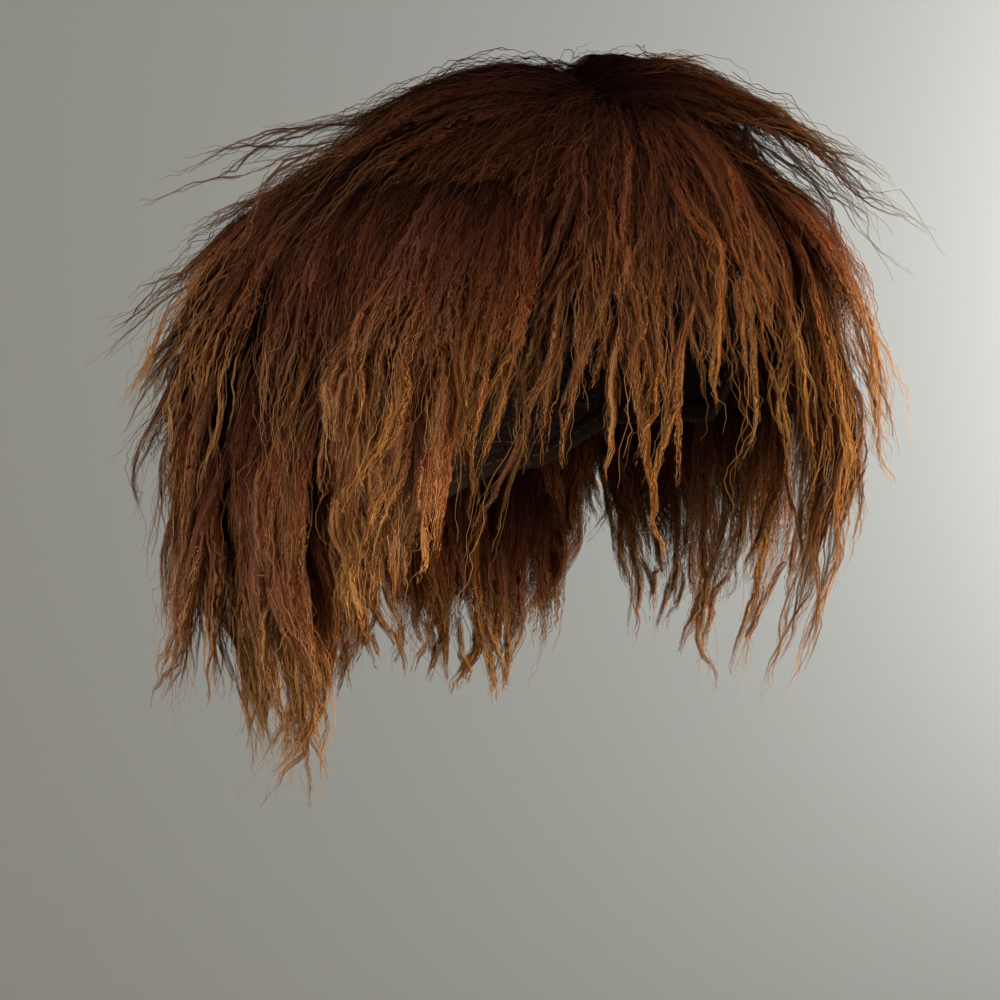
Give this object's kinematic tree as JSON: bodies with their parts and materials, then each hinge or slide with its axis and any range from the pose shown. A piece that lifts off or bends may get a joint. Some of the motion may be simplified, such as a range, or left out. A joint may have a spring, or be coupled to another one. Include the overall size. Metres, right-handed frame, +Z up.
{
  "type": "short wig",
  "caption": "Short shaggy wig: a thin stretch cap, open below for the head, carries overlapping rows of spiky crimped brown hair with a fringe and a longer nape.",
  "frame": {"origin": "where the top of the wearer's head touches the inside of the cap", "axes": "+Z up, -Y towards the wearer's face, +X towards the wearer's left"},
  "size_m": [0.2783, 0.2857, 0.2678],
  "materials": {
    "hair": "crimped synthetic fibre, soft sheen, dark at the roots",
    "cap_net": "matt dark stretch net with sewn weft tracks"
  },
  "bodies": {
    "root": {"cap": "cap_net", "fringe_weft": "hair", "left_crown_weft": "hair", "right_crown_weft": "hair", "back_crown_weft": "hair", "right_upper_weft": "hair", "left_upper_weft": "hair", "back_upper_weft": "hair", "back_middle_weft": "hair", "right_lower_weft": "hair", "left_lower_weft": "hair", "back_lower_weft": "hair", "nape_weft": "hair"}
  },
  "joints": []
}
